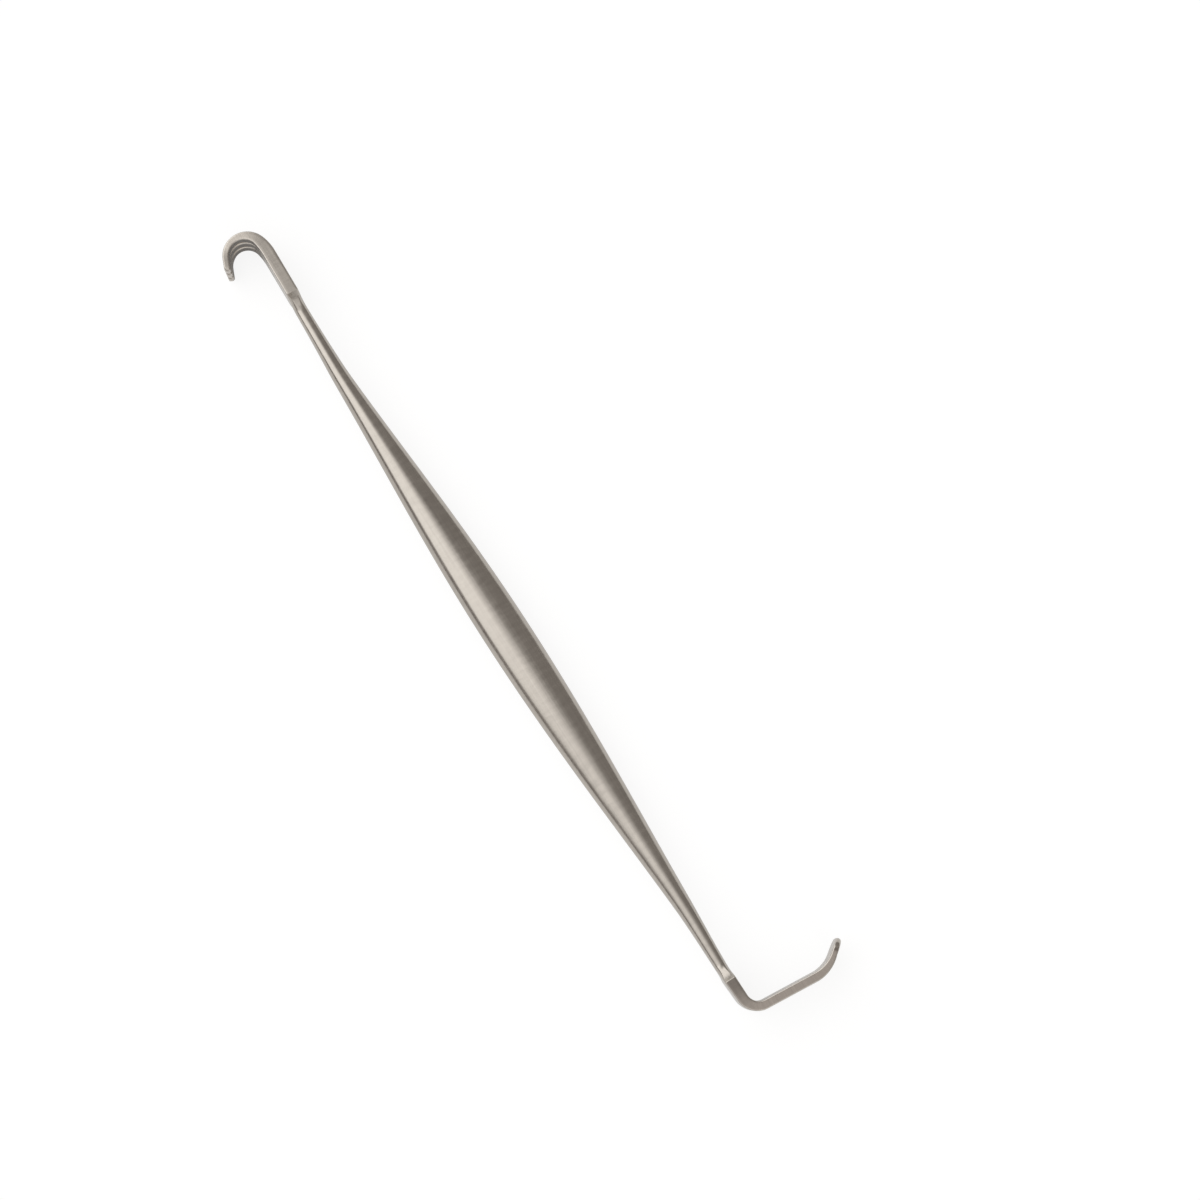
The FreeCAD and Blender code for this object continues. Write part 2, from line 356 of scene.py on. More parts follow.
# the handle, its necks and its flares: one ring of points after another, each shaped by the rules below
def handleTree(sizes, material):
    tree, value = newTree("spindleHandle", sizes)

    def wired(kind, **settings):
        node = tree.nodes.new(kind)
        for label, setting in settings.items():
            setattr(node, label, setting)
        return node

    def link(source, target):
        tree.links.new(source.socket if isinstance(source, TreeValue) else source, target)

    ringCount = len(bodySection)
    grid = wired("GeometryNodeMeshGrid")
    grid.inputs["Size X"].default_value = 2
    grid.inputs["Size Y"].default_value = 2
    grid.inputs["Vertices Y"].default_value = ringCount + 1
    link(value["Rings"], grid.inputs["Vertices X"])
    place = wired("ShaderNodeSeparateXYZ")
    link(wired("GeometryNodeInputPosition").outputs[0], place.inputs[0])
    along = TreeValue(tree, place.outputs["X"])
    around = mathNode(tree, "ROUND", (TreeValue(tree, place.outputs["Y"]) + 1.0) * (ringCount / 2))
    point = mathNode(tree, "FLOORED_MODULO", around, ringCount)

    # distance from the middle, with the rings closer together towards the ends
    share = mathNode(tree, "ABSOLUTE", along)
    crowded = 1.0 - mathNode(tree, "POWER", 1.0 - share, value["Crowding Power"])
    distance = value["Half Length"] * mixed(share, crowded, value["Crowding"])
    x = distance * mathNode(tree, "SIGN", along)
    onBlade = mathNode(tree, "GREATER_THAN", along, 0.0)

    # the swell, and how far the section has gone from oval to neck to plate
    fullness = mixed(value["Rake Half Fullness"], value["Blade Half Fullness"], onBlade)
    cosine = mathNode(tree, "COSINE", distance / value["Half Length"] * (math.pi / 2))
    cosine = mathNode(tree, "MAXIMUM", cosine, 0.0)
    swell = mathNode(tree, "POWER", cosine, 2.0 * fullness)
    neckStart = value["Half Length"] - value["Flare Run"]
    toNeck = smoothNode(tree, distance, value["Oval End"], neckStart)
    alongFlare = mathNode(tree, "MAXIMUM", distance - neckStart, 0.0) / value["Flare Run"]
    toPlate = smoothNode(tree, alongFlare)
    toFullWidth = mathNode(tree, "POWER", alongFlare, value["Flare Hollow"])

    # half sizes of the section, and the part of them that is flat
    lean = mixed(value["Rake Lean"], 0.0, onBlade)
    slant = 1.0 / mathNode(tree, "COSINE", lean)
    plateWidth = mixed(value["Rake Width"], value["Blade Width"], onBlade)
    plateThickness = mixed(value["Rake Thickness"], value["Blade Thickness"], onBlade)
    neckWidth = mixed(value["Rake Neck Width"], value["Blade Neck Width"], onBlade)
    width = mixed(neckWidth, value["Width"], swell)
    thickness = mixed(value["Neck Thickness"], value["Thickness"], swell)
    halfY = mixed(width, plateThickness * slant, toPlate) / 2.0
    halfZ = mixed(thickness, plateWidth, toFullWidth) / 2.0
    flatY = halfY * mixed(value["Oval Flat"], value["Neck Flat Y"], toNeck)
    flatZ = halfZ * mixed(value["Oval Flat"], value["Neck Flat Z"], toNeck)
    flatY = mixed(flatY, halfY - value["Edge Radius"] * slant, toPlate)
    flatZ = mixed(flatZ, halfZ - value["Edge Radius"], toPlate)

    # the neck leans at the rake's end and drops at the blade's end
    past = -1.0 * x - value["Lean Start"]
    leaning = mathNode(tree, "MINIMUM", mathNode(tree, "MAXIMUM", past, 0.0), value["Lean Softness"])
    beyond = mathNode(tree, "MAXIMUM", past - value["Lean Softness"], 0.0)
    ramp = leaning * leaning / (2.0 * value["Lean Softness"]) + beyond
    rise = mathNode(tree, "TANGENT", lean) * ramp + value["Rake Set"] * toPlate * (1.0 - onBlade)
    dropping = smoothNode(tree, x, value["Drop Start"], value["Half Length"])
    centre = rise - value["Drop"] * dropping

    # each point round the section goes from its place on an oval to its place on a plate
    reader = wired("GeometryNodeObjectInfo")
    link(value["Section"], reader.inputs["Object"])
    parts = {}
    for name in ("ovalRound", "ovalFlat", "plateRound", "plateFlat"):
        named = wired("GeometryNodeInputNamedAttribute", data_type="FLOAT_VECTOR")
        named.inputs["Name"].default_value = name
        sample = wired("GeometryNodeSampleIndex", data_type="FLOAT_VECTOR", domain="POINT")
        link(reader.outputs["Geometry"], sample.inputs["Geometry"])
        link(named.outputs["Attribute"], sample.inputs["Value"])
        link(point, sample.inputs["Index"])
        split = wired("ShaderNodeSeparateXYZ")
        link(sample.outputs["Value"], split.inputs[0])
        parts[name] = [TreeValue(tree, split.outputs[axis]) for axis in ("Y", "Z")]
    places = []
    for axis, flat, half in ((0, flatY, halfY), (1, flatZ, halfZ)):
        flatShare = mixed(parts["ovalFlat"][axis], parts["plateFlat"][axis], toPlate)
        roundShare = mixed(parts["ovalRound"][axis], parts["plateRound"][axis], toPlate)
        places.append(flat * flatShare + (half - flat) * roundShare)
    position = wired("ShaderNodeCombineXYZ")
    link(x * mm, position.inputs["X"])
    link((centre + places[0]) * mm, position.inputs["Y"])
    link(places[1] * mm, position.inputs["Z"])
    move = wired("GeometryNodeSetPosition")
    link(grid.outputs["Mesh"], move.inputs["Geometry"])
    link(position.outputs[0], move.inputs["Position"])

    # what the steel's finish reads: the length along the instrument, and where its edges are
    roundness = mathNode(tree, "ABSOLUTE", parts["plateRound"][0] * parts["plateRound"][1])
    stored = move.outputs["Geometry"]
    for name, number in (("along", x * mm), ("softEdge", roundness * toPlate * 2.0)):
        store = wired("GeometryNodeStoreNamedAttribute", data_type="FLOAT", domain="POINT")
        store.inputs["Name"].default_value = name
        link(stored, store.inputs["Geometry"])
        link(number, store.inputs["Value"])
        stored = store.outputs["Geometry"]
    closeTree(tree, stored, material)
    return tree


def makeHandle(material):
    points = sectionObject()
    sizes = {
        "Section": points,
        "Rings": handle["rings"],
        "Half Length": halfHandle,
        "Crowding": handle["crowding"],
        "Crowding Power": handle["crowdingPower"],
        "Width": handle["width"],
        "Thickness": handle["thickness"],
        "Rake Half Fullness": handle["rakeHalfFullness"],
        "Blade Half Fullness": handle["bladeHalfFullness"],
        "Rake Neck Width": handle["rakeNeckWidth"],
        "Blade Neck Width": handle["bladeNeckWidth"],
        "Neck Thickness": handle["neckThickness"],
        "Oval End": handle["ovalEnd"],
        "Oval Flat": handle["ovalFlat"],
        "Neck Flat Y": handle["neckFlatY"],
        "Neck Flat Z": handle["neckFlatZ"],
        "Flare Run": handle["flareRun"],
        "Flare Hollow": handle["flareHollow"],
        "Edge Radius": edge,
        "Rake Width": rake["width"],
        "Rake Thickness": rake["thickness"],
        "Rake Set": rake["set"],
        "Rake Lean": math.radians(rake["lean"]),
        "Lean Start": rake["leanStart"],
        "Lean Softness": rake["leanSoftness"],
        "Blade Width": blade["width"],
        "Blade Thickness": blade["shoulderThickness"],
        "Drop": blade["drop"],
        "Drop Start": blade["dropStart"],
    }
    mesh = bake("handle", handleTree(sizes, material), sizes)
    bpy.data.objects.remove(points)
    return readMesh(mesh)


# a mesh as plain arrays: corners, faces, length along the instrument, softness of its edges
def readMesh(mesh):
    corners = np.empty(len(mesh.vertices) * 3, np.float32)
    mesh.vertices.foreach_get("co", corners)
    numbers = []
    for name in ("along", "softEdge"):
        values = np.empty(len(mesh.vertices), np.float32)
        mesh.attributes[name].data.foreach_get("value", values)
        numbers.append(values.astype(float))
    faces = [tuple(face.vertices) for face in mesh.polygons]
    return corners.reshape(-1, 3).astype(float), faces, numbers[0], numbers[1]


# a path in the XY plane as stops of x, y, heading and distance
# each step is a length, the degrees that it turns through, and the number of its stops
def walk(start, heading, steps):
    x, y = start
    heading = math.radians(heading)
    distance = 0.0
    stops = [(x, y, heading, distance)]
    for length, turn, count in steps:
        half = math.radians(turn) / count / 2
        chord = length / count * (math.sin(half) / half if half else 1)
        for step in range(count):
            x += chord * math.cos(heading + half)
            y += chord * math.sin(heading + half)
            heading += 2 * half
            distance += length / count
            stops.append((x, y, heading, distance))
    return np.array(stops)


# one section's points at a row of a path: its sizes and flats, the side that the path lies on, and any slide
def placeSection(points, row, thickness, halfWidth, flatY, flatZ, side, slide=0.0):
    x, y, heading = row[:3]
    ahead = np.array([math.cos(heading), math.sin(heading), 0])
    outward = side * np.array([-math.sin(heading), math.cos(heading), 0])
    middle = np.array([x, y, 0]) - outward * thickness / 2
    offY = flatY * points[:, 0] + (thickness / 2 - flatY) * points[:, 1]
    offZ = flatZ * points[:, 2] + (halfWidth - flatZ) * points[:, 3]
    shift = np.broadcast_to(slide, offY.shape)
    return middle + np.outer(offY, outward) + np.outer(offZ, (0, 0, 1)) + np.outer(shift, ahead)


# faces between rings of points, each ring closed or open
def ringFaces(rings, count, closed=True):
    faces = []
    for ring in range(rings - 1):
        for point in range(count if closed else count - 1):
            after = (point + 1) % count
            low = ring * count
            faces.append((low + point, low + after, low + count + after, low + count + point))
    return faces


def shifted(faces, first):
    return [tuple(first + corner for corner in face) for face in faces]


# how soft the edge is at each point of a flat section, from 0 on the flats to 1 on the roundings
def softness(points):
    return 2 * np.abs(points[:, 1] * points[:, 3])


# the rake's outer line, its row at the roots of the gaps, and the length before it starts to bend
def rakePath():
    heading = 180 - rake["lean"]
    lean = math.radians(rake["lean"])
    entry, hook = math.radians(rake["entryTurn"]), math.radians(rake["hookTurn"])
    turned = math.radians(heading) + entry
    reach = rake["entryRadius"] * (math.sin(math.radians(heading)) - math.sin(turned))
    reach += rake["hookRadius"] * (math.sin(turned) + 1)
    hookStart = -(halfHandle + rake["reach"]) + reach
    straight = (-halfHandle - hookStart) / math.cos(lean)
    root = -(halfHandle + rake["reach"]) + rake["slitDepth"] - rake["gap"] / 2
    toRoot = (-halfHandle - root) / math.cos(lean)
    centre = math.tan(lean) * (halfHandle - rake["leanStart"] - rake["leanSoftness"] / 2) + rake["set"]
    halfThickness = rake["thickness"] / 2
    start = (-halfHandle + math.sin(lean) * halfThickness, centre + math.cos(lean) * halfThickness)
    steps = [
        (rows["crease"], 0, 1),
        (toRoot - rows["crease"], 0, rows["shank"]),
        (straight - toRoot, 0, rows["slit"]),
        (rake["entryRadius"] * entry, rake["entryTurn"], rows["entry"]),
        (rake["hookRadius"] * hook, rake["hookTurn"], rows["hook"]),
        (rake["prongStraight"], 0, rows["prong"]),
    ]
    return walk(start, heading, steps), rows["shank"] + 1, straight


rakeLine, rootRow, rakeStraight = rakePath()


def hookThickness(distance):
    share = smooth((distance - rakeStraight) / rake["taperLength"])
    return rake["thickness"] + (rake["prongThickness"] - rake["thickness"]) * share


# the shank, from the handle to the round roots of the gaps
def makeShank():
    halfWidth, thickness = rake["width"] / 2, rake["thickness"]
    flats = (thickness / 2 - edge, halfWidth - edge)
    rings = []
    for index, row in enumerate(rakeLine[:rootRow + 1]):
        toRoot = rakeLine[rootRow, 3] - row[3]
        pull = max(0.0, 1 - toRoot / rake["rootRun"])
        slide = -rootRadius * pull * bodySection[:, 4]
        ring = placeSection(bodySection, row, thickness, halfWidth, *flats, -1, slide)
        if index == 0:  # the first ring is slid onto the handle's end
            ring[:, 1] += (-halfHandle - ring[:, 0]) * math.tan(row[2])
            ring[:, 0] = -halfHandle
        rings.append(ring)
    corners = np.vstack(rings)
    along = -halfHandle - np.repeat(rakeLine[:rootRow + 1, 3], len(bodySection))
    soft = np.tile(softness(bodySection), rootRow + 1)
    return corners * mm, ringFaces(rootRow + 1, len(bodySection)), along * mm, soft


# the walls at the round roots, a strip of side points swept round each half circle
def makeRoots():
    row = rakeLine[rootRow]
    side = sidePoints(bodySection, len(columns))
    flatSide = side * (1, 1, 0, 0, 0)
    flatY = rake["thickness"] / 2 - edge
    radius = rootRadius - edge * side[:, 3]
    angles = np.linspace(-math.pi / 2, math.pi / 2, section["gapColumns"] + 1)
    corners, faces, along, soft = [], [], [], []
    for gap in range(rake["prongs"] - 1):
        middle = (gap - (rake["prongs"] - 2) / 2) * pitch
        first = len(corners) * len(side)
        for angle in angles:
            slide = -radius * math.cos(angle)
            strip = placeSection(flatSide, row, rake["thickness"], 0, flatY, 0, -1, slide)
            strip[:, 2] = middle + radius * math.sin(angle)
            corners.append(strip)
            along.append(np.full(len(side), -halfHandle - row[3]))
            soft.append(softness(side))
        faces += shifted(ringFaces(len(angles), len(side), False), first)
    return np.vstack(corners) * mm, faces, np.concatenate(along) * mm, np.concatenate(soft)


# one prong on the middle plane, from the root of the gaps round the hook to its blunt tip
def makeProng():
    halfWidth = prongWidth / 2
    rings, along = [], []
    for row in rakeLine[rootRow:]:
        thickness = hookThickness(row[3])
        flats = (thickness / 2 - edge, halfWidth - edge)
        rings.append(placeSection(prongSection, row, thickness, halfWidth, *flats, -1))
        along.append(-halfHandle - row[3])
    last = rakeLine[-1]
    roundness = rake["tipRoundness"]
    for step in range(1, rows["tip"] + 1):
        share = math.sin(math.radians(rake["tipTurn"]) * step / rows["tip"]) ** (2 / roundness)
        scale = (1 - share ** roundness) ** (1 / roundness)
        halfY, halfZ = rake["prongThickness"] / 2 * scale, halfWidth * scale
        rounding = edge + (min(halfY, halfZ) - edge) * share
        flats = [max(half - rounding, half * rake["tipFlat"]) for half in (halfY, halfZ)]
        row = last.copy()
        inward = rake["prongThickness"] / 2 - halfY
        row[0] += rake["prongTipLength"] * share * math.cos(last[2]) - inward * math.sin(last[2])
        row[1] += rake["prongTipLength"] * share * math.sin(last[2]) + inward * math.cos(last[2])
        rings.append(placeSection(prongSection, row, 2 * halfY, halfZ, *flats, -1))
        along.append(-halfHandle - last[3] - rake["prongTipLength"] * share)
    count = len(prongSection)
    corners = np.vstack(rings)
    faces = ringFaces(len(rings), count)
    along = np.repeat(along, count)
    soft = np.tile(softness(prongSection), len(rings))
    faces.append(tuple(range(len(corners) - count, len(corners))))
    return corners * mm, faces, along * mm, soft


# the flat blade with its turned-in lip, which ends in two round corners
def makeBlade():
    reach = blade["bendRadius"] * math.tan(math.radians(blade["angle"]) / 2)
    lipReach = blade["lipBendRadius"] * math.tan(math.radians(blade["lipTurn"]) / 2)
    bend = blade["bendRadius"] * math.radians(blade["angle"])
    lipBend = blade["lipBendRadius"] * math.radians(blade["lipTurn"])
    shank = blade["set"] - reach
    straight = blade["height"] - reach - lipReach
    lip = blade["lipLength"] - lipReach - blade["cornerRadius"]
    steps = [
        (rows["crease"], 0, 1),
        (shank - rows["crease"], 0, rows["bladeShank"]),
        (bend, blade["angle"], rows["bend"]),
        (straight, 0, rows["blade"]),
        (lipBend, blade["lipTurn"], rows["lipBend"]),
        (lip, 0, rows["lip"]),
    ]
    path = walk((halfHandle, -blade["drop"] + blade["shoulderThickness"] / 2), 0, steps)
    beforeLip = shank + bend + straight
    halfWidth = blade["width"] / 2

    stations = (0, shank, shank + bend, beforeLip, beforeLip + lipBend)
    names = ("shoulderThickness", "bendThickness", "thickness", "thickness", "lipThickness")
    thicknesses = [blade[name] for name in names]

    rings, along = [], []
    for row in path:
        thickness = np.interp(row[3], stations, thicknesses)
        flats = (thickness / 2 - edge, halfWidth - edge)
        rings.append(placeSection(bodySection, row, thickness, halfWidth, *flats, 1))
        along.append(row[3])
    last = path[-1]
    thickness = blade["lipThickness"]
    cornerRadius = blade["cornerRadius"]
    for step in range(1, rows["corner"] + 1):
        angle = math.pi / 2 * step / rows["corner"]
        rounding = edge + (blade["tipRounding"] - edge) * smooth(step / rows["corner"])
        flatY = thickness / 2 - rounding
        flatZ = halfWidth - cornerRadius + (cornerRadius - rounding) * math.cos(angle)
        slide = (cornerRadius - rounding + rounding * np.abs(bodySection[:, 3])) * math.sin(angle)
        reachZ = flatZ + rounding * math.cos(angle)
        rings.append(placeSection(bodySection, last, thickness, reachZ, flatY, flatZ, 1, slide))
        along.append(last[3] + (cornerRadius - rounding) * math.sin(angle))
    count = len(bodySection)
    faces = ringFaces(len(rings), count)
    soft = [softness(bodySection)] * len(rings)
    along = list(np.repeat(along, count))

    # the end wall between the two round corners
    side = sidePoints(bodySection, len(columns))
    flatSide = side * (1, 1, 0, 0, 0)
    first = len(rings) * count
    slide = cornerRadius - rounding + rounding * side[:, 3]
    for column in columns:
        strip = placeSection(flatSide, last, thickness, 0, flatY, 0, 1, slide)
        strip[:, 2] = (halfWidth - cornerRadius) * column
        rings.append(strip)
        soft.append(softness(side))
        along += [last[3] + cornerRadius] * len(side)
    faces += shifted(ringFaces(len(columns), len(side), False), first)
    along = halfHandle + np.array(along)
    return np.vstack(rings) * mm, faces, along * mm, np.concatenate(soft)


# one mesh from parts, each of them corners, faces, lengths along the instrument and edge softness
def newMesh(name, parts):
    corners = np.vstack([part[0] for part in parts])
    faces = []
    first = 0
    for part in parts:
        faces += shifted(part[1], first)
        first += len(part[0])
    mesh = bpy.data.meshes.new(name)
    mesh.from_pydata([tuple(corner) for corner in corners], [], faces)
    for index, label in ((2, "along"), (3, "softEdge")):
        attribute = mesh.attributes.new(label, "FLOAT", "POINT")
        values = np.concatenate([part[index] for part in parts])
        attribute.data.foreach_set("value", values.astype(np.float32))
    return mesh


# copies of one prong, side by side across the rake
def makeProngs(material):
    prong = bpy.data.objects.new("prong", newMesh("prong", [makeProng()]))
    bpy.context.scene.collection.objects.link(prong)
    values = {"Prong": prong, "Count": rake["prongs"], "Pitch": pitch * mm}
    tree, value = newTree("prongRow", values)
    line = tree.nodes.new("GeometryNodeMeshLine")
    start = tree.nodes.new("ShaderNodeCombineXYZ")
    offset = tree.nodes.new("ShaderNodeCombineXYZ")
    reader = tree.nodes.new("GeometryNodeObjectInfo")
    copies = tree.nodes.new("GeometryNodeInstanceOnPoints")
    firstZ = value["Pitch"] * (1.0 - value["Count"]) / 2.0
    tree.links.new(value["Count"].socket, line.inputs["Count"])
    tree.links.new(firstZ.socket, start.inputs["Z"])
    tree.links.new(value["Pitch"].socket, offset.inputs["Z"])
    tree.links.new(start.outputs[0], line.inputs["Start Location"])
    tree.links.new(offset.outputs[0], line.inputs["Offset"])
    tree.links.new(value["Prong"].socket, reader.inputs["Object"])
    tree.links.new(line.outputs["Mesh"], copies.inputs["Points"])
    tree.links.new(reader.outputs["Geometry"], copies.inputs["Instance"])
    closeTree(tree, copies.outputs["Instances"], material)
    mesh = bake("prongs", tree, values)
    bpy.data.objects.remove(prong)
    return readMesh(mesh)


# all parts of the forging as one closed skin
def makeRetractor(material):
    parts = [makeHandle(material), makeShank(), makeRoots(), makeProngs(material), makeBlade()]
    mesh = newMesh("retractorBody", parts)
    skin = bmesh.new()
    skin.from_mesh(mesh)
    bmesh.ops.remove_doubles(skin, verts=skin.verts, dist=mergeDistance * mm)
    bmesh.ops.recalc_face_normals(skin, faces=skin.faces)
    for face in skin.faces:
        face.smooth = True
    openEdges = sum(1 for line in skin.edges if len(line.link_faces) != 2)
    volume = round(skin.calc_volume() / mm ** 3, 1)
    print("skin:", len(skin.faces), "faces,", openEdges, "open edges,", volume, "mm3")
    skin.to_mesh(mesh)
    skin.free()
    mesh.materials.append(material)
    body = bpy.data.objects.new("retractorBody", mesh)
    bpy.context.scene.collection.objects.link(body)
    return body


# fine ground satin: short grinding lines across the length, soft streaks along it, and brighter rounded
# edges that are partly wear and partly a painted highlight; the ground sides also carry painted shade on the
# blade and inside the hook, and a painted highlight round the hook
# widths, lengths and depths are in mm, and places on the ends are in mm from the shoulder
steelFinishAndPaintedLight = {
    "colour": (0.53, 0.495, 0.45, 1),
    # brighter on the rounded edges: partly wear, partly a painted highlight
    "edgeWearAndHighlightColour": (0.62, 0.585, 0.54, 1),
    "sideFacing": (0.9, 1.0),  # a face counts as a ground side as its normal's Z part goes through this
    # painted shade: the blade's ground sides darker than the steel, darkest along its shank, for the dim
    # light that they reflect
    "bladeShankPaintedShade": (0.261, 0.234, 0.208, 1),
    "bladeSidePaintedShade": (0.436, 0.39, 0.35, 1),
    "bladeStart": (0.0, 0.2),
    "shankFade": (1.0, 6.5),
    # painted highlight: the hook's ground sides lighter, for the window's reflection on them
    "hookSidePaintedHighlight": (0.81, 0.76, 0.69, 1),
    "hookHighlightRise": (10.0, 15.5),
    "hookHighlightFade": (18.5, 21.3),
    # painted shade on the faces inside the hook, which look at each other
    "hookInsidePaintedShade": (0.20, 0.18, 0.16, 1),
    "hookInsideRoughness": 0.2,
    "hookInsideFacing": (0.3, 0.8),
    "hookInsideRise": 3.0,
    "roughness": 0.21,
    "roughnessSwing": 0.07,
    "noiseRange": (0.3, 0.7),  # nearly all of the noise lies in here
    "noiseDetail": 3.0,
    "lineWidth": 0.15,
    "lineLength": 2.4,
    "lineTilt": 14.0,
    "lineShare": 0.4,  # how far each pattern swings the grain
    "lineDepth": 0.02,
    "lineStrength": 0.16,
    "streakWidth": 0.3,
    "streakLength": 20.0,
    "streakShare": 0.35,
    "cloudSize": 5.0,
    "cloudShare": 0.25,
    "darkerTint": 0.16,
    "lighterTint": 0.08,
}


# noise drawn out along one direction: sizes in mm along the instrument and across it
def drawnNoise(tree, place, along, across, tilt=0.0):
    turn = tree.nodes.new("ShaderNodeMapping")
    turn.inputs["Rotation"].default_value = (0, 0, math.radians(tilt))
    tree.links.new(place.socket, turn.inputs["Vector"])
    stretch = tree.nodes.new("ShaderNodeMapping")
    stretch.inputs["Scale"].default_value = (1 / (along * mm), 1 / (across * mm), 1 / (across * mm))
    tree.links.new(turn.outputs["Vector"], stretch.inputs["Vector"])
    noise = tree.nodes.new("ShaderNodeTexNoise")
    noise.inputs["Scale"].default_value = 1.0
    noise.inputs["Detail"].default_value = steelFinishAndPaintedLight["noiseDetail"]
    tree.links.new(stretch.outputs["Vector"], noise.inputs["Vector"])
    return TreeValue(tree, noise.outputs["Fac"])


def remap(tree, value, source, target):
    node = tree.nodes.new("ShaderNodeMapRange")
    numbers = (value, *source, *target)
    for label, number in zip(("Value", "From Min", "From Max", "To Min", "To Max"), numbers):
        feed(tree, node.inputs[label], number)
    return TreeValue(tree, node.outputs["Result"])


# the pattern follows the instrument round its bends: length along it, then its own Y and Z
def patternPlace(tree, place, distance):
    joined = tree.nodes.new("ShaderNodeCombineXYZ")
    for socket, value in zip(joined.inputs, [distance] + axisValues(tree, place)[1:]):
        tree.links.new(value.socket, socket)
    return TreeValue(tree, joined.outputs[0])


# the steel's colour on its ground flat sides, with painted light: painted shade on the blade, darkest along
# its shank round the hook a painted highlight, and elsewhere the colour is plain
def sideColourWithPaintedLight(tree, normal, distance):
    pastBladeShoulder = distance / mm - halfHandle
    pastRakeShoulder = -1.0 * distance / mm - halfHandle
    sideways = mathNode(tree, "ABSOLUTE", axisValues(tree, normal)[2])
    side = smoothNode(tree, sideways, *steelFinishAndPaintedLight["sideFacing"])
    # painted highlight on the hook's ground sides
    hookHighlight = smoothNode(tree, pastRakeShoulder, *steelFinishAndPaintedLight["hookHighlightRise"])
    hookHighlight = hookHighlight * (1.0 - smoothNode(tree, pastRakeShoulder, *steelFinishAndPaintedLight["hookHighlightFade"]))
    tone = colourNode(tree, steelFinishAndPaintedLight["colour"], steelFinishAndPaintedLight["hookSidePaintedHighlight"], side * hookHighlight)
    # painted shade on the blade's ground sides
    onBlade = smoothNode(tree, pastBladeShoulder, *steelFinishAndPaintedLight["bladeStart"])
    pastShank = smoothNode(tree, pastBladeShoulder, *steelFinishAndPaintedLight["shankFade"])
    bladePaintedShade = colourNode(tree, steelFinishAndPaintedLight["bladeShankPaintedShade"], steelFinishAndPaintedLight["bladeSidePaintedShade"], pastShank)
    return colourNode(tree, tone, bladePaintedShade, side * onBlade)


# one on the faces that look towards the middle of the hook, zero elsewhere
def hookInsideShare(tree, place, normal, distance):
    x, y, heading = rakeLine[rootRow + rows["slit"] + rows["entry"], :3]
    radius = rake["hookRadius"]
    middle = Vector((x - radius * math.sin(heading), y + radius * math.cos(heading), 0))
    inward = vectorNode(tree, "MULTIPLY", vectorNode(tree, "SUBTRACT", middle * mm, place), (1, 1, 0))
    facing = vectorNode(tree, "DOT_PRODUCT", vectorNode(tree, "NORMALIZE", inward), normal)
    pastStraight = -1.0 * distance / mm - (halfHandle + rakeStraight)
    inHook = smoothNode(tree, pastStraight, 0.0, steelFinishAndPaintedLight["hookInsideRise"])
    return smoothNode(tree, facing, *steelFinishAndPaintedLight["hookInsideFacing"]) * inHook


def makeSteel():
    steel = bpy.data.materials.new("satinSteel")
    steel.use_nodes = True
    tree = steel.node_tree
    metal = tree.nodes["Principled BSDF"]
    metal.inputs["Metallic"].default_value = 1.0

    attributes = {}
    for name in ("along", "softEdge"):
        reader = tree.nodes.new("ShaderNodeAttribute")
        reader.attribute_name = name
        attributes[name] = TreeValue(tree, reader.outputs["Fac"])
    distance = attributes["along"]
    place = TreeValue(tree, tree.nodes.new("ShaderNodeTexCoord").outputs["Object"])
    normal = TreeValue(tree, tree.nodes.new("ShaderNodeNewGeometry").outputs["Normal"])

    spot = patternPlace(tree, place, distance)
    line = (steelFinishAndPaintedLight["lineWidth"], steelFinishAndPaintedLight["lineLength"])
    lines = drawnNoise(tree, spot, *line)
    tilted = drawnNoise(tree, spot, *line, steelFinishAndPaintedLight["lineTilt"])
    streaks = drawnNoise(tree, spot, steelFinishAndPaintedLight["streakLength"], steelFinishAndPaintedLight["streakWidth"])
    clouds = drawnNoise(tree, spot, steelFinishAndPaintedLight["cloudSize"], steelFinishAndPaintedLight["cloudSize"])

    def swinging(noise, share):
        return remap(tree, noise, steelFinishAndPaintedLight["noiseRange"], (-share, share))

    # grinding lines, streaks and clouds together, from -1 to 1, vary the roughness and the colour
    grain = swinging(lines, steelFinishAndPaintedLight["lineShare"]) + swinging(streaks, steelFinishAndPaintedLight["streakShare"])
    grain = grain + swinging(clouds, steelFinishAndPaintedLight["cloudShare"])
    hookInside = hookInsideShare(tree, place, normal, distance)
    middle, swing = steelFinishAndPaintedLight["roughness"], steelFinishAndPaintedLight["roughnessSwing"]
    roughness = remap(tree, grain, (-1, 1), (middle - swing, middle + swing))
    roughness = roughness + hookInside * steelFinishAndPaintedLight["hookInsideRoughness"]
    tree.links.new(roughness.socket, metal.inputs["Roughness"])

    # painted shade inside the hook, and brighter rounded edges that are partly wear and partly a painted
    # highlight
    tone = colourNode(tree, sideColourWithPaintedLight(tree, normal, distance), steelFinishAndPaintedLight["hookInsidePaintedShade"], hookInside)
    # brighter rounded edges: partly wear, partly a painted highlight
    tone = colourNode(tree, tone, steelFinishAndPaintedLight["edgeWearAndHighlightColour"], attributes["softEdge"])
    strength = remap(tree, grain, (-1, 1), (1 - steelFinishAndPaintedLight["darkerTint"], 1 + steelFinishAndPaintedLight["lighterTint"]))
    tinted = vectorNode(tree, "MULTIPLY", tone, strength)
    tree.links.new(tinted.socket, metal.inputs["Base Color"])

    # relief: the grinding lines, crossed by a second set at a slight angle
    bump = tree.nodes.new("ShaderNodeBump")
    bump.inputs["Strength"].default_value = steelFinishAndPaintedLight["lineStrength"]
    bump.inputs["Distance"].default_value = steelFinishAndPaintedLight["lineDepth"] * mm
    tree.links.new((lines + tilted).socket, bump.inputs["Height"])
    tree.links.new(bump.outputs["Normal"], metal.inputs["Normal"])
    return steel


